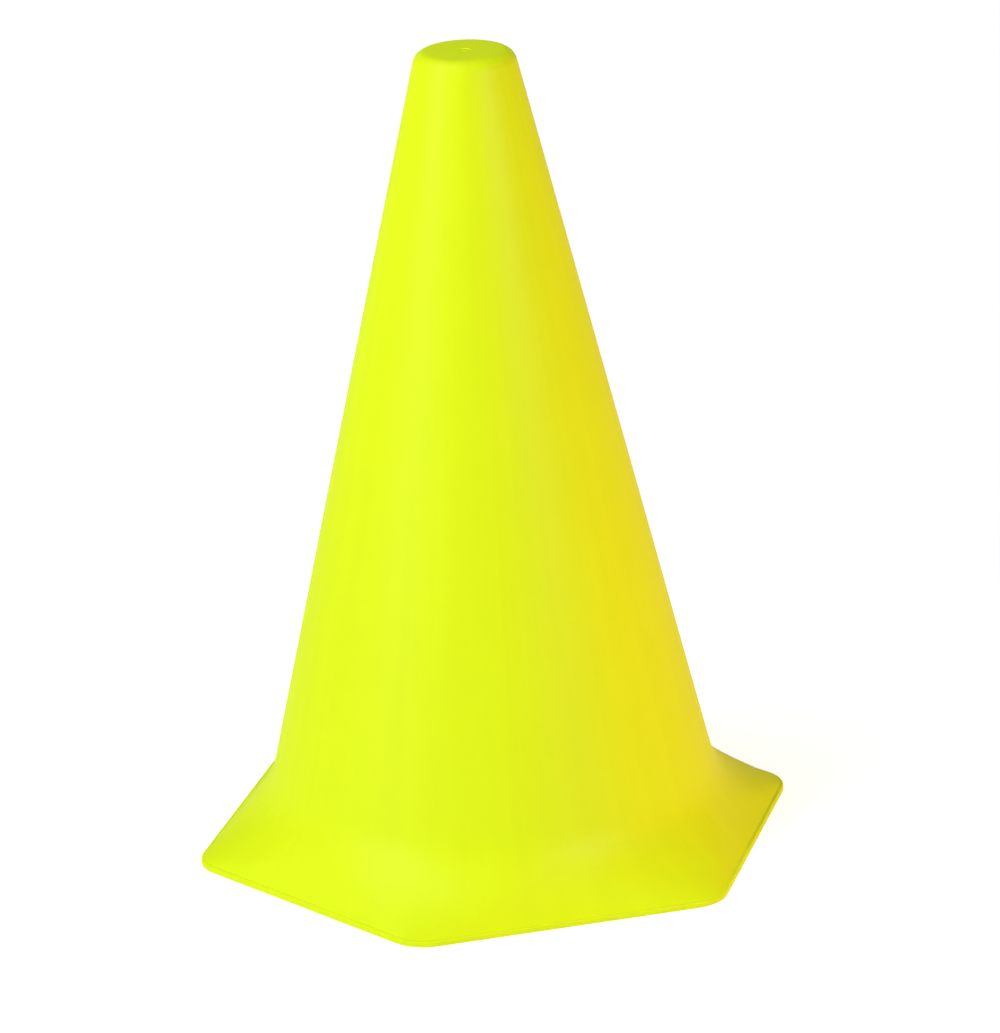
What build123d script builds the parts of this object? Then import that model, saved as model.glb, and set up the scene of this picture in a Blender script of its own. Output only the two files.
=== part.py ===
from build123d import *
import math
import os

# A hollow marker cone, moulded in one piece with the same wall all over. The origin is on the ground under
# the tip, +Z is up, and two corners of the hexagonal brim lie on the X axis.

# Driving dimensions, in millimetres
height = 230.0  # ground to flat top
wall = 1.6  # thickness of the moulding, square to its surface
foot_radius = 67.6  # outer wall line carried down to the ground
tip_radius = 13.6  # outer wall line carried up to the flat top
shoulder_inner_radius = 2.4  # round between top and wall, inside
flare_top = 22.0  # height at which the wall starts to spread into the hexagon
flare_spread = 7.8  # reach of the flare beyond the wall line's foot, at the middle of each side
brim_sides = 6
brim_width = 1.0  # narrow flat rim around the flare
brim_corner_radius = 12.0  # round at each corner of the rim, seen from above
brim_edge_radius = 0.5  # round along the rim's upper edge
gate_well_radius = 1.8  # shallow dish in the middle of the top
gate_well_depth = 0.2
gate_stub_radius = 0.7  # stub left in the dish by the moulding gate
gate_stub_height = 0.12

# How the flare is drawn
flare_steps = 6  # stretches between its drawn sections
least_straight = 0.05  # half flats of the smallest straight-sided core, where the flare is as good as round

# Sizes that follow from them
lean = math.atan2(foot_radius - tip_radius, height)
wall_level = wall / math.cos(lean)  # thickness of the leaning wall, measured level
shoulder_outer_radius = shoulder_inner_radius + wall
flare_depth = flare_top - wall
flare_half_flats = foot_radius + flare_spread
flare_corner_radius = brim_corner_radius - brim_width
corner_gain = 1 / math.cos(math.pi / brim_sides) - 1  # how much further a corner reaches than a flat
side_spread = flare_spread + wall * math.tan(lean)  # spread beyond the wall line at the brim's own height
corner_spread = corner_gain * (flare_half_flats - flare_corner_radius)


def wall_line(z):
    """Radius of the outer wall line at height z."""
    return foot_radius - z * math.tan(lean)


def skin(level_inset, top_z, shoulder_radius):
    """Meridian of one face of the moulding above the flare: top, shoulder and wall, as three edges."""
    top_corner = (wall_line(top_z) - level_inset, 0, top_z)
    wall_end = (wall_line(flare_top) - level_inset, 0, flare_top)
    return FilletPolyline((0, 0, top_z), top_corner, wall_end, radius=shoulder_radius).edges()


def turned(outer_edges, inner_edges):
    """Solid of revolution of the strip between matching stretches of the outer and the inner face."""
    start = Line(outer_edges[0] @ 0, inner_edges[0] @ 0)
    end = Line(outer_edges[-1] @ 1, inner_edges[-1] @ 1)
    return revolve(make_face([*outer_edges, *inner_edges, start, end]), Axis.Z)


def rounded_hexagon(half_flats, corner_radius):
    """Outline of the brim's shape, with its corners on the X axis."""
    return fillet(RegularPolygon(half_flats, brim_sides, major_radius=False).vertices(), corner_radius)


def flare_reach(z, extra_spread, inset):
    """Radius of the flare at height z, less an inset square to its face.

    It leaves the wall line without a bend and spreads faster the nearer it comes to the brim. The extra
    spread is what a corner gains over the middle of a side.
    """
    drop = (flare_top - z) / flare_depth
    radius = wall_line(z) + side_spread * drop**2 + extra_spread * drop**3
    slope = math.tan(lean) + (2 * side_spread * drop + 3 * extra_spread * drop**2) / flare_depth
    return radius - inset * math.hypot(1, slope)


def flare_section(z, inset):
    """Level section of the flare's outer face, or of its inner face where the inset is the wall."""
    half_flats = flare_reach(z, 0, inset)
    corner = flare_reach(z, corner_spread, inset)
    core = max((corner - half_flats) / corner_gain, least_straight)
    return Pos(0, 0, z) * rounded_hexagon(half_flats, half_flats - core)


def flare_body(bottom_z, inset):
    """Solid inside one face of the flare, from its top down to the given height."""
    step = (flare_top - bottom_z) / flare_steps
    return loft([flare_section(flare_top - n * step, inset) for n in range(flare_steps + 1)])


outer = skin(0, height, shoulder_outer_radius)
inner = skin(wall_level, height - wall, shoulder_inner_radius)

# Crown: flat top and rounded shoulder, with the gate's dish and stub
gate_well = Cone(gate_well_radius - gate_well_depth, gate_well_radius, gate_well_depth)
gate_stub = Cylinder(gate_stub_radius, gate_stub_height)
well_floor = height - gate_well_depth
crown = turned(outer[0:2], inner[0:2])
crown -= Pos(0, 0, height - gate_well_depth / 2) * gate_well
crown += Pos(0, 0, well_floor + gate_stub_height / 2) * gate_stub

# Straight tapered wall
cone_wall = turned(outer[2:3], inner[2:3])

# Flare from the round wall to the hexagon, ending upright against the rim
flare_foot = rounded_hexagon(flare_half_flats, flare_corner_radius)
flare = flare_body(wall, 0) + extrude(flare_foot, wall) - flare_body(0, wall)

# Flat hexagonal rim that the cone stands on
rim_plan = rounded_hexagon(flare_half_flats + brim_width, brim_corner_radius) - flare_foot
hex_brim = extrude(rim_plan, wall)
upper_rim = hex_brim.faces().sort_by(Axis.Z)[-1].outer_wire().edges()
hex_brim = fillet(upper_rim, brim_edge_radius)

os.makedirs("parts", exist_ok=True)
export_step(crown, "parts/crown.step")
export_step(cone_wall, "parts/cone_wall.step")
export_step(flare, "parts/flare.step")
export_step(hex_brim, "parts/hex_brim.step")
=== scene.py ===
import math
from typing import NamedTuple

import bmesh
import bpy
from bpy.props import FloatProperty, FloatVectorProperty, IntProperty, PointerProperty
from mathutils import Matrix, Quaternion, Vector


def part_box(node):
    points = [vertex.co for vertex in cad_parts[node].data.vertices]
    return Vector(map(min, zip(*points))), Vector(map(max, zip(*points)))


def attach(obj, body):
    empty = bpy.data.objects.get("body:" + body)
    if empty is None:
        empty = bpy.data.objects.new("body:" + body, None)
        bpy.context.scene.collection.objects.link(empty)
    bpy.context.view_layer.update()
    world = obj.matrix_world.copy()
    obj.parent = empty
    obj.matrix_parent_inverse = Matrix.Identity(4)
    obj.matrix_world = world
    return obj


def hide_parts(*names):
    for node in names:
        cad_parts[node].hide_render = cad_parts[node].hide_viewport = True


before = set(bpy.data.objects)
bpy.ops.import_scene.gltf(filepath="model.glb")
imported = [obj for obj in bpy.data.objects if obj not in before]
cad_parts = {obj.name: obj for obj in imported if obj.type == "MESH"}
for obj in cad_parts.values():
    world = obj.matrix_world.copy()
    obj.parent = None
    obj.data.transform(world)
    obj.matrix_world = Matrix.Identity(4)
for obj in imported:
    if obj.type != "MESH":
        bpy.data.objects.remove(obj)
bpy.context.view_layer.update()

bl_info = {
    "name": "Marker cone",
    "version": (1, 0, 0),
    "blender": (4, 5, 0),
    "location": "3D View > Sidebar > Marker cone",
    "description": "A soft moulded training cone with a hexagonal brim, on a pale studio floor",
    "category": "Object",
}

# Places read from the frame. The straight wall runs from the flare's top to the crown's widest ring.
CROWN_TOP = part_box("crown")[1]
WALL_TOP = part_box("cone_wall")[1]
FLARE_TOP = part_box("flare")[1]
BRIM_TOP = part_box("hex_brim")[1]
WALL_LEAN = math.atan2(WALL_TOP.x - CROWN_TOP.x, WALL_TOP.z - FLARE_TOP.z)
ROUND_RISE = 1 - math.sin(WALL_LEAN)  # height of a round between level and wall, for a radius of 1
SIDES = 6
HALF_SIDE = math.pi / SIDES  # half the angle that one side of the brim spans
CORNER_GAIN = 1 / math.cos(HALF_SIDE) - 1  # how much further a sharp corner reaches than a flat of 1

# How the meshes are drawn
MERGE = 1e-7  # points of a turned line that lie nearer than this become one
SIDE_MERGE = 1e-5  # and so do the ends of the brim's sides
SEAM_LAP = 0.0004  # crown and flare run this far on along their straight neighbours, so that shading joins up
RIM_TUCK = 0.0001  # the flare runs this far down inside the rim, so that no gap shows between them
STUB_EDGE = 0.0001  # round on the gate stub's rim
WALL_PIECES = 28  # faces down the wall
TOP_PIECES = 3  # faces across the flat top
EDGE_STEPS = 4  # faces along the smallest rounds, on the stub and the brim
SIDEWAYS = 0.5  # a face whose normal rises less than this looks sideways
SHARP_ANGLE = math.radians(35)  # edges that bend further than this stay sharp


class MarkerConeSizes(bpy.types.PropertyGroup):
    """Sizes of the moulding, as built in the frame"""

    height: FloatProperty(
        name="Height", description="Ground to flat top", default=CROWN_TOP.z, min=0.05, unit="LENGTH"
    )
    wall: FloatProperty(
        name="Wall", description="Thickness of the moulding, square to its surface", default=BRIM_TOP.z,
        min=0.0005, unit="LENGTH",
    )
    lean: FloatProperty(
        name="Wall lean", description="Lean of the wall from upright", default=WALL_LEAN, subtype="ANGLE"
    )
    tip_radius: FloatProperty(
        name="Tip radius", description="Outer wall line carried up to the flat top",
        default=CROWN_TOP.x - (CROWN_TOP.z - WALL_TOP.z) * math.tan(WALL_LEAN), unit="LENGTH",
    )
    shoulder_radius: FloatProperty(
        name="Shoulder radius", description="Round between flat top and wall, outside",
        default=(CROWN_TOP.z - WALL_TOP.z) / ROUND_RISE, unit="LENGTH",
    )
    flare_top: FloatProperty(
        name="Flare top", description="Height at which the wall starts to spread into the hexagon",
        default=FLARE_TOP.z, unit="LENGTH",
    )
    flare_half_flats: FloatProperty(
        name="Flare half across flats", description="Axis to the flare's end at the middle of a side",
        default=FLARE_TOP.y, unit="LENGTH",
    )
    flare_corner_radius: FloatProperty(
        name="Flare corner radius", description="Round at each corner of the flare's end, seen from above",
        default=(FLARE_TOP.y * (1 + CORNER_GAIN) - FLARE_TOP.x) / CORNER_GAIN, unit="LENGTH",
    )
    half_flats: FloatProperty(
        name="Half across flats", description="Axis to the middle of a side of the brim",
        default=BRIM_TOP.y, unit="LENGTH",
    )
    corner_radius: FloatProperty(
        name="Corner radius", description="Round at each corner of the brim, seen from above",
        default=(BRIM_TOP.y * (1 + CORNER_GAIN) - BRIM_TOP.x) / CORNER_GAIN, unit="LENGTH",
    )
    edge_radius: FloatProperty(
        name="Edge radius", description="Round along the brim's upper edge", default=0.0005, unit="LENGTH"
    )
    gate_well_radius: FloatProperty(
        name="Gate dish radius", description="Shallow dish in the middle of the top", default=0.0018,
        unit="LENGTH",
    )
    gate_well_depth: FloatProperty(
        name="Gate dish depth", description="Depth of the dish below the flat top", default=0.0002,
        unit="LENGTH",
    )
    gate_stub_radius: FloatProperty(
        name="Gate stub radius", description="Stub that the moulding gate leaves in the dish", default=0.0007,
        unit="LENGTH",
    )
    gate_stub_height: FloatProperty(
        name="Gate stub height", description="Height of the stub above the dish", default=0.00012,
        unit="LENGTH",
    )
    round_steps: IntProperty(
        name="Steps round the axis", description="Faces round the cone, a multiple of twelve", default=384,
        min=96, max=768,
    )
    arc_steps: IntProperty(
        name="Steps along a round", description="Faces along the shoulder and the flare", default=24, min=4
    )


class MarkerConeFinish(bpy.types.PropertyGroup):
    """Colours and surface of the plastic"""

    plastic: FloatVectorProperty(
        name="Plastic", description="Fluorescent yellow pigment", default=(0.748, 0.916, 0.0065),
        subtype="COLOR", min=0, max=1,
    )
    plastic_deep: FloatVectorProperty(
        name="Deep plastic", description="Where the pigment flowed thicker", default=(0.717, 0.877, 0.0055),
        subtype="COLOR", min=0, max=1,
    )
    roughness: FloatProperty(
        name="Roughness", description="Satin of the moulded skin", default=0.60, min=0, max=1,
        subtype="FACTOR",
    )
    skin_index: FloatProperty(
        name="Skin index", description="Refractive index that gives the textured skin's soft reflection",
        default=1.10, min=1, max=2,
    )
    wax: FloatProperty(
        name="Waxy film", description="Weight of the thin smoother film that gives the soft highlights",
        default=0.10, min=0, max=1, subtype="FACTOR",
    )
    wax_index: FloatProperty(
        name="Film index", description="Refractive index that gives the waxy film's highlights", default=2.0,
        min=1, max=4,
    )
    wax_roughness: FloatProperty(
        name="Film roughness", description="Roughness of the waxy film", default=0.40, min=0, max=1,
        subtype="FACTOR",
    )
    grain_size: FloatProperty(
        name="Grain size", description="Size of the fine moulded grain", default=0.0006, unit="LENGTH",
        precision=5,
    )
    grain_depth: FloatProperty(
        name="Grain depth", description="Depth of the fine moulded grain", default=0.00001, unit="LENGTH",
        precision=6,
    )


class MarkerConeStudio(bpy.types.PropertyGroup):
    """Camera, floor and lamps"""

    azimuth: FloatProperty(
        name="Camera azimuth", description="Turn of the camera about the cone, to its right from the front",
        default=math.radians(-14.344), subtype="ANGLE",
    )
    elevation: FloatProperty(
        name="Camera elevation", description="Camera above level, seen from the middle of the cone",
        default=math.radians(19.238), subtype="ANGLE",
    )
    distance: FloatProperty(
        name="Camera distance", description="Camera to the middle of the cone", default=1.5293, unit="LENGTH"
    )
    roll: FloatProperty(
        name="Camera roll", description="Turn of the camera about its own line of sight",
        default=math.radians(-2.268), subtype="ANGLE",
    )
    aim_right: FloatProperty(
        name="Aim to the right", description="Aim point to the right of the axis", default=0.00473,
        unit="LENGTH",
    )
    aim_height: FloatProperty(
        name="Aim height", description="Aim point above the ground", default=0.09399, unit="LENGTH"
    )
    lens: FloatProperty(
        name="Lens", description="Focal length in millimetres", default=190.0, min=1, unit="CAMERA"
    )
    floor_colour: FloatVectorProperty(
        name="Floor", description="Pale studio floor", default=(0.86, 0.86, 0.86), subtype="COLOR", min=0, max=1
    )
    lamp_colour: FloatVectorProperty(
        name="White lamps", description="Colour of the key, front and top lamps", default=(1.0, 1.0, 1.0),
        subtype="COLOR", min=0, max=1,
    )
    warm_colour: FloatVectorProperty(
        name="Warm lamp", description="Colour of the low lamp on the right", default=(1.0, 0.25, 0.0),
        subtype="COLOR", min=0, max=1,
    )
    key_power: FloatProperty(
        name="Key power", description="Power of the large white lamp on the left", default=9.2, unit="POWER"
    )
    front_power: FloatProperty(
        name="Front power", description="Power of the white lamp to the right of the camera", default=5.7,
        unit="POWER",
    )
    top_power: FloatProperty(
        name="Top power", description="Power of the white lamp high on the left", default=6.4, unit="POWER"
    )
    warm_power: FloatProperty(
        name="Warm power", description="Power of the low warm lamp on the right", default=0.92, unit="POWER"
    )
    ambient: FloatProperty(
        name="Ambient", description="Strength of the even light from all round", default=0.18, min=0
    )


# Drawing in the meridian plane


class Outline:
    """A line drawn point by point in the plane of X and Z, to be turned about the cone's axis."""

    def __init__(self, start):
        self.mesh = bmesh.new()
        self.core = self.mesh.verts.layers.float.new("core")
        self.first = self.mesh.verts.new(start)
        self.pen = self.first

    def line_to(self, point, pieces=1):
        """Straight run to a point, in equal pieces."""
        step = (Vector(point) - self.pen.co) / pieces
        for _ in range(pieces):
            new = bmesh.ops.extrude_vert_indiv(self.mesh, verts=[self.pen])["verts"]
            bmesh.ops.translate(self.mesh, vec=step, verts=new)
            self.pen = new[0]

    def line_by(self, step):
        """Straight run by a step."""
        self.line_to(self.pen.co + Vector(step))

    def arc(self, centre, turn, steps):
        """Round run about a centre, from +Z towards +X where turn is positive."""
        spun = bmesh.ops.spin(
            self.mesh, geom=[self.pen], cent=centre, axis=(0, 1, 0), angle=turn, steps=steps
        )
        self.pen = next(item for item in spun["geom_last"] if isinstance(item, bmesh.types.BMVert))

    def close(self):
        """Straight run back to the first point."""
        self.mesh.edges.new((self.pen, self.first))

    def turned(self, steps):
        """The closed skin that the line sweeps in one full turn about Z."""
        geom = [*self.mesh.verts, *self.mesh.edges]
        bmesh.ops.spin(
            self.mesh, geom=geom, cent=(0, 0, 0), axis=(0, 0, 1), angle=math.tau, steps=steps, use_merge=True
        )
        bmesh.ops.remove_doubles(self.mesh, verts=self.mesh.verts, dist=MERGE)
        bmesh.ops.recalc_face_normals(self.mesh, faces=self.mesh.faces)
        return self.mesh


def point(r, z):
    """Point of the meridian plane at a radius and a height."""
    return Vector((r, 0, z))


def across_wall(sizes):
    """Unit step out of the wall, square to it."""
    return point(math.cos(sizes.lean), math.sin(sizes.lean))


def down_wall(sizes):
    """Unit step down along the wall."""
    return point(math.sin(sizes.lean), -math.cos(sizes.lean))


def round_turn(sizes):
    """Angle that the shoulder turns through."""
    return math.pi / 2 - sizes.lean


def shoulder_centre(sizes):
    """Centre of the round between flat top and wall."""
    reach = sizes.shoulder_radius * math.tan(round_turn(sizes) / 2)
    return point(sizes.tip_radius - reach, sizes.height - sizes.shoulder_radius)


def wall_line(sizes, z):
    """Point of the outer wall line at a height."""
    return point(sizes.tip_radius + (sizes.height - z) * math.tan(sizes.lean), z)


def flare_reach(sizes, z, extra_spread, inset):
    """Radius of the flare at a height, less an inset square to its face.

    It leaves the wall line without a bend and spreads faster the nearer it comes to the brim. The extra
    spread is what a corner gains over the middle of a side.
    """
    depth = sizes.flare_top - sizes.wall
    drop = (sizes.flare_top - z) / depth
    spread = sizes.flare_half_flats - wall_line(sizes, sizes.wall).x
    radius = wall_line(sizes, z).x + spread * drop**2 + extra_spread * drop**3
    slope = math.tan(sizes.lean) + (2 * spread * drop + 3 * extra_spread * drop**2) / depth
    return radius - inset * math.hypot(1, slope)


def hexagon_reach(half_flats, core, angle):
    """Radius of a rounded hexagon at an angle: a sharp core of the given half flats, widened all round."""
    off_corner = (angle + HALF_SIDE) % (2 * HALF_SIDE) - HALF_SIDE
    off_side = HALF_SIDE - abs(off_corner)
    if half_flats * math.tan(off_side) <= core * math.tan(HALF_SIDE):
        return half_flats / math.cos(off_side)
    corner = core / math.cos(HALF_SIDE)
    across = corner * math.sin(off_corner)
    return corner * math.cos(off_corner) + math.sqrt((half_flats - core) ** 2 - across**2)


def finished_piece(mesh, name, node):
    """Makes a shaded object of a bmesh, which stands for a node of the frame and rides on its body."""
    finish = (moulded_plastic("plastic_outside", OUTSIDE), moulded_plastic("plastic_inside", INSIDE))
    for face in mesh.faces:
        face.smooth = True
        middle = face.calc_center_median()
        outward = Vector((middle.x, middle.y, 0)).normalized() + Vector((0, 0, 1))
        face.material_index = 0 if face.normal.dot(outward) > 0 else 1
    data = bpy.data.meshes.new(name)
    mesh.to_mesh(data)
    mesh.free()
    data.set_sharp_from_angle(angle=SHARP_ANGLE)
    for material in finish:
        data.materials.append(material)
    piece = bpy.data.objects.new(name, data)
    bpy.context.scene.collection.objects.link(piece)
    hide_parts(node)
    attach(piece, "root")


# Finish


def add_node(tree, kind, place, values=None, **settings):
    """Adds a node at a place of the tree, with its settings, and its inputs set or linked."""
    node = tree.nodes.new(kind)
    node.location = place
    for name, value in settings.items():
        setattr(node, name, value)
    for name, value in (values or {}).items():
        if isinstance(value, bpy.types.NodeSocket):
            tree.links.new(value, node.inputs[name])
        else:
            node.inputs[name].default_value = value
    return node


def new_group(name, inputs, outputs):
    """Adds a shader node group with its sockets and gives its tree, input node and output node."""
    tree = bpy.data.node_groups.new(name, "ShaderNodeTree")
    for label, kind in inputs:
        tree.interface.new_socket(label, in_out="INPUT", socket_type=kind)
    for label, kind in outputs:
        tree.interface.new_socket(label, in_out="OUTPUT", socket_type=kind)
    return tree, tree.nodes.new("NodeGroupInput"), tree.nodes.new("NodeGroupOutput")


CLOUD_SCALE = 38.0  # pigment clouds about 25 mm across
STREAK_TURNS = 9.0  # fineness of the flow streaks round the axis
STREAK_LENGTH = 6.0  # slow change of a streak along its length
FLOW_THIN, FLOW_THICK = 0.35, 0.65  # values of the noise between which the pigment goes from thin to thick
RIPPLE_SCALE = 60.0  # ripples of the soft wall about 15 mm across
PATCH_SCALE = 90.0  # glossier and duller patches about 10 mm across
PATCH_LOW, PATCH_HIGH = 0.3, 0.7  # values of the noise between which a patch goes from glossy to dull
PATCH_SPREAD = 0.03  # how far the roughness of a patch strays from the mean


def pigment_flow():
    """Group: soft clouds of pigment, and faint streaks where plastic flowed down from the gate."""
    name = "Pigment flow"
    if name in bpy.data.node_groups:
        return bpy.data.node_groups[name]
    sockets = [
        ("Vector", "NodeSocketVector"), ("Colour", "NodeSocketColor"), ("Deep", "NodeSocketColor"),
        ("Clouds", "NodeSocketFloat"), ("Streaks", "NodeSocketFloat"),
    ]
    tree, given, result = new_group(name, sockets, [("Colour", "NodeSocketColor")])
    vector = given.outputs["Vector"]
    clouds = add_node(tree, "ShaderNodeTexNoise", (-200, 200), {
        "Vector": vector, "Scale": CLOUD_SCALE, "Detail": 3.0, "Roughness": 0.55})
    split = add_node(tree, "ShaderNodeSeparateXYZ", (-1100, -200), {"Vector": vector})
    level = add_node(tree, "ShaderNodeCombineXYZ", (-920, -200), {
        "X": split.outputs["X"], "Y": split.outputs["Y"]})
    ring = add_node(tree, "ShaderNodeVectorMath", (-740, -200), {
        0: level.outputs["Vector"]}, operation="NORMALIZE")
    turn = add_node(tree, "ShaderNodeVectorMath", (-560, -200), {
        0: ring.outputs["Vector"], "Scale": STREAK_TURNS}, operation="SCALE")
    drop = add_node(tree, "ShaderNodeMath", (-740, -380), {
        0: split.outputs["Z"], 1: STREAK_LENGTH}, operation="MULTIPLY")
    along = add_node(tree, "ShaderNodeCombineXYZ", (-560, -380), {"Z": drop.outputs["Value"]})
    place = add_node(tree, "ShaderNodeVectorMath", (-380, -260), {
        0: turn.outputs["Vector"], 1: along.outputs["Vector"]}, operation="ADD")
    streaks = add_node(tree, "ShaderNodeTexNoise", (-200, -260), {
        "Vector": place.outputs["Vector"], "Scale": 1.0, "Detail": 4.0, "Roughness": 0.6})
    cloud, streak = (
        add_node(tree, "ShaderNodeMapRange", (-20, noise.location.y), {
            "Value": noise.outputs["Fac"], "From Min": FLOW_THIN, "From Max": FLOW_THICK},
            interpolation_type="SMOOTHSTEP")
        for noise in (clouds, streaks)
    )
    cloudy = add_node(tree, "ShaderNodeMath", (160, 120), {
        0: cloud.outputs["Result"], 1: given.outputs["Clouds"]}, operation="MULTIPLY")
    both = add_node(tree, "ShaderNodeMath", (340, 0), {
        0: streak.outputs["Result"], 1: given.outputs["Streaks"], 2: cloudy.outputs["Value"]},
        operation="MULTIPLY_ADD")
    mixed = add_node(tree, "ShaderNodeMix", (520, 0), {"Factor": both.outputs["Value"]}, data_type="RGBA")
    tree.links.new(given.outputs["Colour"], mixed.inputs["A"])
    tree.links.new(given.outputs["Deep"], mixed.inputs["B"])
    tree.links.new(mixed.outputs["Result"], result.inputs["Colour"])
    return tree


def moulded_grain():
    """Group: height of the fine moulded grain, over slow ripples of the soft wall."""
    name = "Moulded grain"
    if name in bpy.data.node_groups:
        return bpy.data.node_groups[name]
    sockets = [
        ("Vector", "NodeSocketVector"), ("Grain scale", "NodeSocketFloat"), ("Ripple", "NodeSocketFloat")
    ]
    tree, given, result = new_group(name, sockets, [("Height", "NodeSocketFloat")])
    vector = given.outputs["Vector"]
    grain = add_node(tree, "ShaderNodeTexNoise", (-300, 100), {
        "Vector": vector, "Scale": given.outputs["Grain scale"], "Detail": 2.0, "Roughness": 0.5})
    ripple = add_node(tree, "ShaderNodeTexNoise", (-300, -200), {
        "Vector": vector, "Scale": RIPPLE_SCALE, "Detail": 1.0})
    both = add_node(tree, "ShaderNodeMath", (0, 0), {
        0: ripple.outputs["Fac"], 1: given.outputs["Ripple"], 2: grain.outputs["Fac"]},
        operation="MULTIPLY_ADD")
    tree.links.new(both.outputs["Value"], result.inputs["Height"])
    return tree


# The two faces of the wall. Clouds and streaks are the most deep pigment that each can show, ripple is their
# height against the grain's, grain is the strength of the whole relief, and gloss is taken off the roughness.
OUTSIDE = {"clouds": 0.30, "streaks": 0.35, "ripple": 1.0, "grain": 1.0, "gloss": 0.0}
INSIDE = {"clouds": 0.30, "streaks": 0.35, "ripple": 1.0, "grain": 0.5, "gloss": 0.04}


def moulded_plastic(name, look):
    """Material: satin fluorescent plastic, coloured all through."""
    if name in bpy.data.materials:
        return bpy.data.materials[name]
    finish = bpy.context.scene.marker_cone_finish
    material = bpy.data.materials.new(name)
    material.use_nodes = True
    tree = material.node_tree
    tree.nodes.clear()
    output = add_node(tree, "ShaderNodeOutputMaterial", (700, 0))
    shader = add_node(tree, "ShaderNodeBsdfPrincipled", (400, 0), {
        "IOR": finish.skin_index, "Coat Weight": finish.wax, "Coat IOR": finish.wax_index,
        "Coat Roughness": finish.wax_roughness})
    tree.links.new(shader.outputs["BSDF"], output.inputs["Surface"])
    place = add_node(tree, "ShaderNodeTexCoord", (-700, 0)).outputs["Object"]
    flow = add_node(tree, "ShaderNodeGroup", (-300, 250), node_tree=pigment_flow())
    tree.links.new(place, flow.inputs["Vector"])
    flow.inputs["Colour"].default_value = (*finish.plastic, 1)
    flow.inputs["Deep"].default_value = (*finish.plastic_deep, 1)
    flow.inputs["Clouds"].default_value = look["clouds"]
    flow.inputs["Streaks"].default_value = look["streaks"]
    tree.links.new(flow.outputs["Colour"], shader.inputs["Base Color"])
    patches = add_node(tree, "ShaderNodeTexNoise", (-300, -50), {
        "Vector": place, "Scale": PATCH_SCALE, "Detail": 4.0})
    mean = finish.roughness - look["gloss"]
    satin = add_node(tree, "ShaderNodeMapRange", (0, -50), {
        "Value": patches.outputs["Fac"], "From Min": PATCH_LOW, "From Max": PATCH_HIGH,
        "To Min": mean - PATCH_SPREAD, "To Max": mean + PATCH_SPREAD})
    tree.links.new(satin.outputs["Result"], shader.inputs["Roughness"])
    grain = add_node(tree, "ShaderNodeGroup", (-300, -350), node_tree=moulded_grain())
    tree.links.new(place, grain.inputs["Vector"])
    grain.inputs["Grain scale"].default_value = 1 / finish.grain_size
    grain.inputs["Ripple"].default_value = look["ripple"]
    bump = add_node(tree, "ShaderNodeBump", (100, -350), {
        "Height": grain.outputs["Height"], "Strength": look["grain"], "Distance": finish.grain_depth})
    tree.links.new(bump.outputs["Normal"], shader.inputs["Normal"])
    return material


def looked_at(tree):
    """Socket that is 1 for rays that look at a surface, straight or in a reflection, and 0 for its light."""
    path = add_node(tree, "ShaderNodeLightPath", (-400, 350))
    direct = add_node(tree, "ShaderNodeMath", (-200, 350), {
        0: path.outputs["Is Camera Ray"], 1: path.outputs["Is Glossy Ray"]}, operation="MAXIMUM")
    either = add_node(tree, "ShaderNodeMath", (0, 350), {
        0: direct.outputs["Value"], 1: path.outputs["Is Transmission Ray"]}, operation="MAXIMUM")
    return either.outputs["Value"]


# Studio

SCREEN_TOP = 0.12  # rise of a line of sight, for a length of 1, up to which it ends on the white screen
SCREEN_END = 0.22  # rise at which the screen has faded out
SHADOW_GLOW = 0.60  # light added to the floor where it is looked at, so that it comes out nearly white
SHADOW_NEAR = 0.11  # radius within which the floor keeps all of the cone's shadow
SHADOW_FAR = 0.28  # radius beyond which the floor is plain white


def studio_floor(colour):
    """Material: matt pale floor, seen as white but for the cone's soft shadow round its foot."""
    material = bpy.data.materials.new("studio_floor")
    material.use_nodes = True
    tree = material.node_tree
    tree.nodes.clear()
    output = add_node(tree, "ShaderNodeOutputMaterial", (800, 0))
    matt = add_node(tree, "ShaderNodeBsdfDiffuse", (0, 150), {"Color": (*colour, 1)})
    glow = add_node(tree, "ShaderNodeEmission", (0, -50), {"Color": (1, 1, 1, 1), "Strength": SHADOW_GLOW})
    shaded = add_node(tree, "ShaderNodeAddShader", (200, 0))
    tree.links.new(matt.outputs["BSDF"], shaded.inputs[0])
    tree.links.new(glow.outputs["Emission"], shaded.inputs[1])
    plain = add_node(tree, "ShaderNodeEmission", (200, -150), {"Color": (1, 1, 1, 1), "Strength": 1.0})
    place = add_node(tree, "ShaderNodeTexCoord", (-400, -250)).outputs["Object"]
    away = add_node(tree, "ShaderNodeVectorMath", (-200, -250), {0: place}, operation="LENGTH")
    fade = add_node(tree, "ShaderNodeMapRange", (0, -250), {
        "Value": away.outputs["Value"], "From Min": SHADOW_NEAR, "From Max": SHADOW_FAR},
        interpolation_type="SMOOTHSTEP")
    seen = add_node(tree, "ShaderNodeMixShader", (400, -50), {"Fac": fade.outputs["Result"]})
    tree.links.new(shaded.outputs["Shader"], seen.inputs[1])
    tree.links.new(plain.outputs["Emission"], seen.inputs[2])
    pick = add_node(tree, "ShaderNodeMixShader", (600, 0), {"Fac": looked_at(tree)})
    tree.links.new(matt.outputs["BSDF"], pick.inputs[1])
    tree.links.new(seen.outputs["Shader"], pick.inputs[2])
    tree.links.new(pick.outputs["Shader"], output.inputs["Surface"])
    return material


SENSOR_WIDTH = 36.0  # of the camera, in millimetres


class SoftLamp(NamedTuple):
    """Place and size of a rectangular lamp that faces the cone."""

    bearing: float  # degrees from the camera's side, to its right
    elevation: float  # degrees above level
    distance: float  # metres from the middle of the cone
    size: tuple  # width and height in metres


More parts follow.
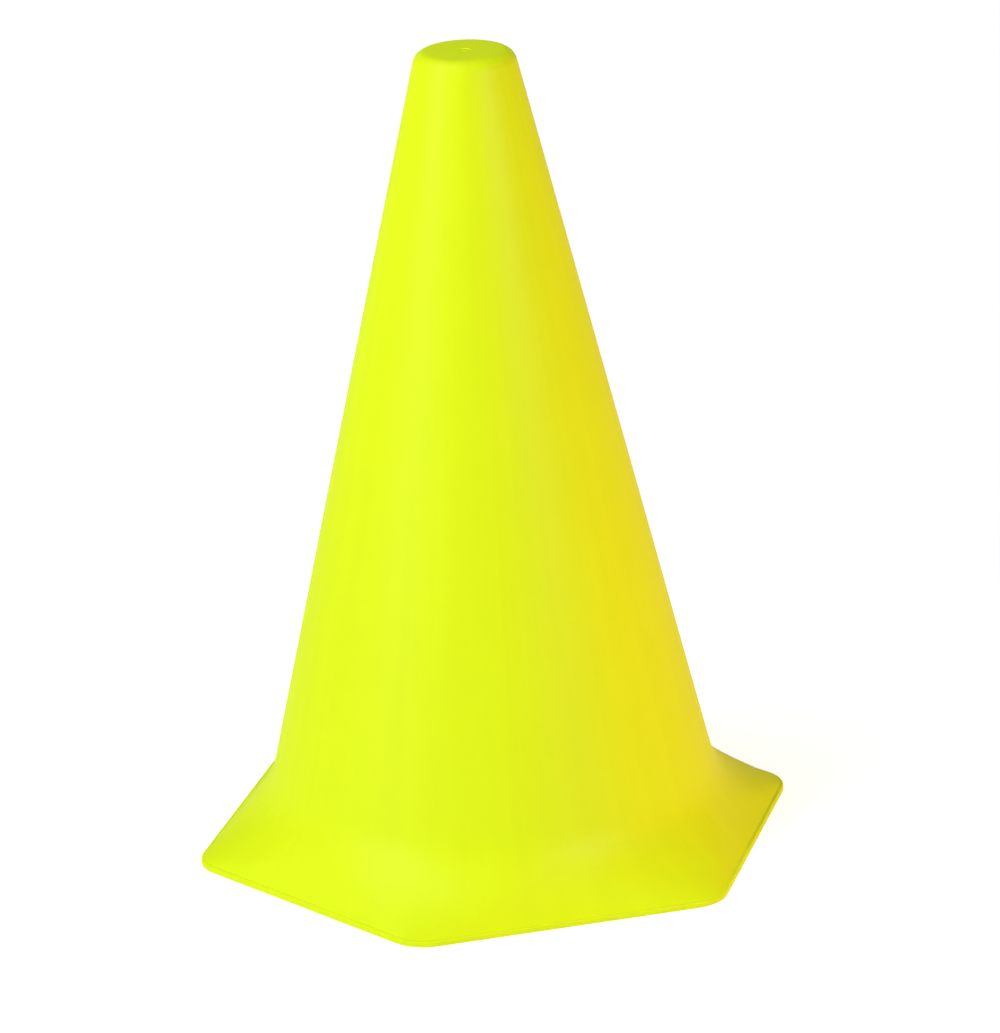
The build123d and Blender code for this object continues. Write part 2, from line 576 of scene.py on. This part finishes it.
KEY_LAMP = SoftLamp(bearing=-57, elevation=26, distance=1.3, size=(0.7, 1.15))
FRONT_LAMP = SoftLamp(bearing=45, elevation=20, distance=1.3, size=(0.5, 0.55))
TOP_LAMP = SoftLamp(bearing=-75, elevation=60, distance=1.3, size=(0.9, 0.9))
WARM_LAMP = SoftLamp(bearing=82, elevation=-6, distance=0.5, size=(0.32, 0.1))


# Operators


class MARKERCONE_OT_crown(bpy.types.Operator):
    """Closed flat top with its rounded shoulder, and the gate's dish and stub"""

    bl_idname = "marker_cone.crown"
    bl_label = "Crown"

    def execute(self, context):
        s = context.scene.marker_cone_sizes
        centre, turn = shoulder_centre(s), round_turn(s)
        dish_floor = s.height - s.gate_well_depth
        stub_top = dish_floor + s.gate_stub_height
        line = Outline(point(0, stub_top))
        line.line_to(point(s.gate_stub_radius - STUB_EDGE, stub_top))
        line.arc(point(s.gate_stub_radius - STUB_EDGE, stub_top - STUB_EDGE), math.pi / 2, EDGE_STEPS)
        line.line_to(point(s.gate_stub_radius, dish_floor))
        line.line_to(point(s.gate_well_radius - s.gate_well_depth, dish_floor))
        line.line_to(point(s.gate_well_radius, s.height))
        line.line_to(point(centre.x, s.height), TOP_PIECES)
        line.arc(centre, turn, s.arc_steps)
        line.line_by(down_wall(s) * SEAM_LAP)
        line.line_by(across_wall(s) * -s.wall)
        line.line_by(down_wall(s) * -SEAM_LAP)
        line.arc(centre, -turn, s.arc_steps)
        line.line_to(point(0, s.height - s.wall), TOP_PIECES)
        finished_piece(line.turned(s.round_steps), "moulded_crown", "crown")
        return {"FINISHED"}


class MARKERCONE_OT_wall(bpy.types.Operator):
    """Straight tapered wall"""

    bl_idname = "marker_cone.wall"
    bl_label = "Tapered wall"

    def execute(self, context):
        s = context.scene.marker_cone_sizes
        upper = shoulder_centre(s) + across_wall(s) * s.shoulder_radius + down_wall(s) * SEAM_LAP
        lower = wall_line(s, s.flare_top + SEAM_LAP)
        line = Outline(upper)
        line.line_to(lower, WALL_PIECES)
        line.line_by(point(-s.wall / math.cos(s.lean), 0))
        line.line_to(upper - across_wall(s) * s.wall, WALL_PIECES)
        line.close()
        finished_piece(line.turned(s.round_steps), "moulded_wall", "cone_wall")
        return {"FINISHED"}


class MARKERCONE_OT_flare(bpy.types.Operator):
    """Flare that leads the round wall out into the hexagon"""

    bl_idname = "marker_cone.flare"
    bl_label = "Flare"

    def execute(self, context):
        s = context.scene.marker_cone_sizes
        steps = s.arc_steps
        level_wall = point(s.wall / math.cos(s.lean), 0)
        line = Outline(wall_line(s, s.flare_top + SEAM_LAP))
        for n in range(steps + 1):
            self.follow(line, s, s.flare_top - (s.flare_top - s.wall) * n / steps, 0)
        self.follow(line, s, s.wall - RIM_TUCK, 0)
        line.line_to(point(s.flare_half_flats, 0))
        line.pen[line.core] = s.flare_half_flats - s.flare_corner_radius
        for n in range(steps + 1):
            self.follow(line, s, s.flare_top * n / steps, s.wall)
        line.line_to(wall_line(s, s.flare_top + SEAM_LAP) - level_wall)
        line.pen[line.core] = 0
        line.close()
        mesh = line.turned(s.round_steps)
        self.spread(mesh, line.core)
        finished_piece(mesh, "moulded_flare", "flare")
        return {"FINISHED"}

    @staticmethod
    def follow(line, s, z, inset):
        """Runs on to a height of the flare at the middle of a side, and notes how hexagonal it is there."""
        gain = CORNER_GAIN * (s.flare_half_flats - s.flare_corner_radius)
        half_flats = flare_reach(s, z, 0, inset)
        corner = flare_reach(s, z, gain, inset)
        line.line_to(point(half_flats, z))
        line.pen[line.core] = max(corner - half_flats, 0) / CORNER_GAIN

    @staticmethod
    def spread(mesh, core):
        """Moves each point of the turned flare out to its place on the rounded hexagon."""
        for vert in mesh.verts:
            radius = vert.co.xy.length
            angle = math.atan2(vert.co.y, vert.co.x)
            vert.co.xy *= hexagon_reach(radius, vert[core], angle) / radius
        bmesh.ops.recalc_face_normals(mesh, faces=mesh.faces)


class MARKERCONE_OT_brim(bpy.types.Operator):
    """Flat hexagonal rim with rounded corners, which the cone stands on"""

    bl_idname = "marker_cone.brim"
    bl_label = "Hexagonal brim"

    CORNER_STEPS = 16  # faces round one corner

    def execute(self, context):
        s = context.scene.marker_cone_sizes
        mesh = bmesh.new()
        self.draw_hexagon(mesh, s.flare_half_flats, s.flare_corner_radius, s.round_steps)
        self.draw_hexagon(mesh, s.half_flats, s.corner_radius, s.round_steps)
        bmesh.ops.bridge_loops(mesh, edges=mesh.edges[:])
        raised = bmesh.ops.extrude_face_region(mesh, geom=mesh.faces[:])["geom"]
        lifted = [item for item in raised if isinstance(item, bmesh.types.BMVert)]
        bmesh.ops.translate(mesh, vec=(0, 0, s.wall), verts=lifted)
        bmesh.ops.recalc_face_normals(mesh, faces=mesh.faces)
        rim = [edge for edge in mesh.edges if self.on_upper_rim(edge, s)]
        bmesh.ops.bevel(
            mesh, geom=rim, offset=s.edge_radius, offset_type="OFFSET", segments=EDGE_STEPS,
            profile=0.5, affect="EDGES", material=-1,
        )
        finished_piece(mesh, "moulded_brim", "hex_brim")
        return {"FINISHED"}

    def draw_hexagon(self, mesh, half_flats, corner_radius, round_steps):
        """Rounded hexagon on the ground: one corner and side, repeated round the axis."""
        older = set(mesh.edges)
        reach = (half_flats - corner_radius) / math.cos(HALF_SIDE)
        centre = Vector((reach, 0, 0))
        start = Vector((math.cos(HALF_SIDE), -math.sin(HALF_SIDE), 0)) * corner_radius
        pen = mesh.verts.new(centre + start)
        spun = bmesh.ops.spin(
            mesh, geom=[pen], cent=centre, axis=(0, 0, 1), angle=2 * HALF_SIDE, steps=self.CORNER_STEPS
        )
        pen = next(item for item in spun["geom_last"] if isinstance(item, bmesh.types.BMVert))
        side_steps = round_steps // SIDES - self.CORNER_STEPS
        step = Vector((-math.sin(HALF_SIDE), math.cos(HALF_SIDE), 0)) * (reach / side_steps)
        for _ in range(side_steps):
            new = bmesh.ops.extrude_vert_indiv(mesh, verts=[pen])["verts"]
            bmesh.ops.translate(mesh, vec=step, verts=new)
            pen = new[0]
        drawn = [edge for edge in mesh.edges if edge not in older]
        points = list({vert for edge in drawn for vert in edge.verts})
        bmesh.ops.spin(
            mesh, geom=[*points, *drawn], cent=(0, 0, 0), axis=(0, 0, 1), angle=math.tau, steps=SIDES,
            use_duplicate=True,
        )
        bmesh.ops.remove_doubles(mesh, verts=mesh.verts, dist=SIDE_MERGE)

    @staticmethod
    def on_upper_rim(edge, s):
        """Whether an edge runs along the rim's outer edge, at its top."""
        raised = all(vert.co.z > s.wall / 2 for vert in edge.verts)
        return raised and any(
            face.normal.z < SIDEWAYS and face.normal.dot(face.calc_center_median()) > 0
            for face in edge.link_faces
        )


class MARKERCONE_OT_stage(bpy.types.Operator):
    """Pale floor, soft lamps and the camera"""

    bl_idname = "marker_cone.stage"
    bl_label = "Stage"

    FLOOR_SIZE = 12.0  # metres

    def execute(self, context):
        studio = context.scene.marker_cone_studio
        self.lay_floor(context, studio)
        self.surround(context, studio)
        self.set_lamps(context, studio)
        self.set_camera(context, studio)
        context.scene.view_settings.view_transform = "Standard"
        return {"FINISHED"}

    def lay_floor(self, context, studio):
        """A flat floor under the brim."""
        mesh = bmesh.new()
        bmesh.ops.create_grid(mesh, x_segments=1, y_segments=1, size=self.FLOOR_SIZE / 2)
        data = bpy.data.meshes.new("floor")
        mesh.to_mesh(data)
        mesh.free()
        data.materials.append(studio_floor(studio.floor_colour))
        floor = bpy.data.objects.new("floor", data)
        context.scene.collection.objects.link(floor)

    def surround(self, context, studio):
        """Even light from all round, and a white screen behind the floor."""
        world = bpy.data.worlds.new("studio")
        world.use_nodes = True
        context.scene.world = world
        tree = world.node_tree
        tree.nodes.clear()
        output = add_node(tree, "ShaderNodeOutputWorld", (600, 0))
        even = add_node(tree, "ShaderNodeBackground", (0, 100), {"Strength": studio.ambient})
        plain = add_node(tree, "ShaderNodeBackground", (0, -100), {"Strength": 1.0})
        for sky in (even, plain):
            sky.inputs["Color"].default_value = (1, 1, 1, 1)
        toward = add_node(tree, "ShaderNodeTexCoord", (-600, 100)).outputs["Generated"]
        rise = add_node(tree, "ShaderNodeSeparateXYZ", (-400, 100), {"Vector": toward}).outputs["Z"]
        low = add_node(tree, "ShaderNodeMapRange", (-200, 100), {
            "Value": rise, "From Min": SCREEN_TOP, "From Max": SCREEN_END, "To Min": 1.0, "To Max": 0.0})
        screen = add_node(tree, "ShaderNodeMath", (150, 250), {
            0: looked_at(tree), 1: low.outputs["Result"]}, operation="MULTIPLY")
        pick = add_node(tree, "ShaderNodeMixShader", (300, 0), {"Fac": screen.outputs["Value"]})
        tree.links.new(even.outputs["Background"], pick.inputs[1])
        tree.links.new(plain.outputs["Background"], pick.inputs[2])
        tree.links.new(pick.outputs["Shader"], output.inputs["Surface"])

    def set_lamps(self, context, studio):
        """Three white lamps and a warm one."""
        white = studio.lamp_colour
        self.hang(context, "key_lamp", KEY_LAMP, white, studio.key_power)
        self.hang(context, "front_lamp", FRONT_LAMP, white, studio.front_power)
        self.hang(context, "top_lamp", TOP_LAMP, white, studio.top_power)
        self.hang(context, "warm_lamp", WARM_LAMP, studio.warm_colour, studio.warm_power)

    def hang(self, context, name, soft, colour, power):
        """A rectangular soft lamp that faces the cone."""
        studio = context.scene.marker_cone_studio
        data = bpy.data.lights.new(name, "AREA")
        data.shape = "RECTANGLE"
        data.size, data.size_y = soft.size
        data.energy = power
        data.color = colour
        lamp = bpy.data.objects.new(name, data)
        context.scene.collection.objects.link(lamp)
        back = self.direction(studio.azimuth + math.radians(soft.bearing), math.radians(soft.elevation))
        middle = point(0, context.scene.marker_cone_sizes.height / 2)
        lamp.location = middle + back * soft.distance
        lamp.rotation_mode = "QUATERNION"
        lamp.rotation_quaternion = (-back).to_track_quat("-Z", "Y")
        lamp.visible_camera = False

    def set_camera(self, context, studio):
        """The camera at the viewing angle, aimed a little below the middle of the cone."""
        data = bpy.data.cameras.new("camera")
        data.sensor_width = SENSOR_WIDTH
        data.lens = studio.lens
        camera = bpy.data.objects.new("camera", data)
        context.scene.collection.objects.link(camera)
        middle = point(0, context.scene.marker_cone_sizes.height / 2)
        right = Vector((math.cos(studio.azimuth), math.sin(studio.azimuth), 0))
        aim = right * studio.aim_right + point(0, studio.aim_height)
        camera.location = middle + self.direction(studio.azimuth, studio.elevation) * studio.distance
        look = (aim - camera.location).to_track_quat("-Z", "Y")
        camera.rotation_mode = "QUATERNION"
        camera.rotation_quaternion = look @ Quaternion((0, 0, 1), studio.roll)
        context.scene.camera = camera

    @staticmethod
    def direction(azimuth, elevation):
        """Unit step from the cone towards a place at an azimuth and an elevation."""
        level = math.cos(elevation)
        return Vector((math.sin(azimuth) * level, -math.cos(azimuth) * level, math.sin(elevation)))


class MARKERCONE_PT_panel(bpy.types.Panel):
    """Sizes, finish, studio and the pieces to build"""

    bl_idname = "MARKERCONE_PT_panel"
    bl_label = "Marker cone"
    bl_space_type = "VIEW_3D"
    bl_region_type = "UI"
    bl_category = "Marker cone"

    def draw(self, context):
        for group in ("marker_cone_sizes", "marker_cone_finish", "marker_cone_studio"):
            settings = getattr(context.scene, group)
            box = self.layout.box()
            for name in settings.bl_rna.properties.keys():
                if name not in ("rna_type", "name"):
                    box.prop(settings, name)
        for operator in OPERATORS:
            self.layout.operator(operator.bl_idname)


OPERATORS = (
    MARKERCONE_OT_crown, MARKERCONE_OT_wall, MARKERCONE_OT_flare, MARKERCONE_OT_brim, MARKERCONE_OT_stage
)
CLASSES = (MarkerConeSizes, MarkerConeFinish, MarkerConeStudio, *OPERATORS, MARKERCONE_PT_panel)


def register():
    for cls in CLASSES:
        bpy.utils.register_class(cls)
    bpy.types.Scene.marker_cone_sizes = PointerProperty(type=MarkerConeSizes)
    bpy.types.Scene.marker_cone_finish = PointerProperty(type=MarkerConeFinish)
    bpy.types.Scene.marker_cone_studio = PointerProperty(type=MarkerConeStudio)


def unregister():
    del bpy.types.Scene.marker_cone_studio
    del bpy.types.Scene.marker_cone_finish
    del bpy.types.Scene.marker_cone_sizes
    for cls in reversed(CLASSES):
        bpy.utils.unregister_class(cls)


def main():
    register()
    bpy.ops.marker_cone.crown()
    bpy.ops.marker_cone.wall()
    bpy.ops.marker_cone.flare()
    bpy.ops.marker_cone.brim()
    bpy.ops.marker_cone.stage()


if __name__ == "__main__":
    main()
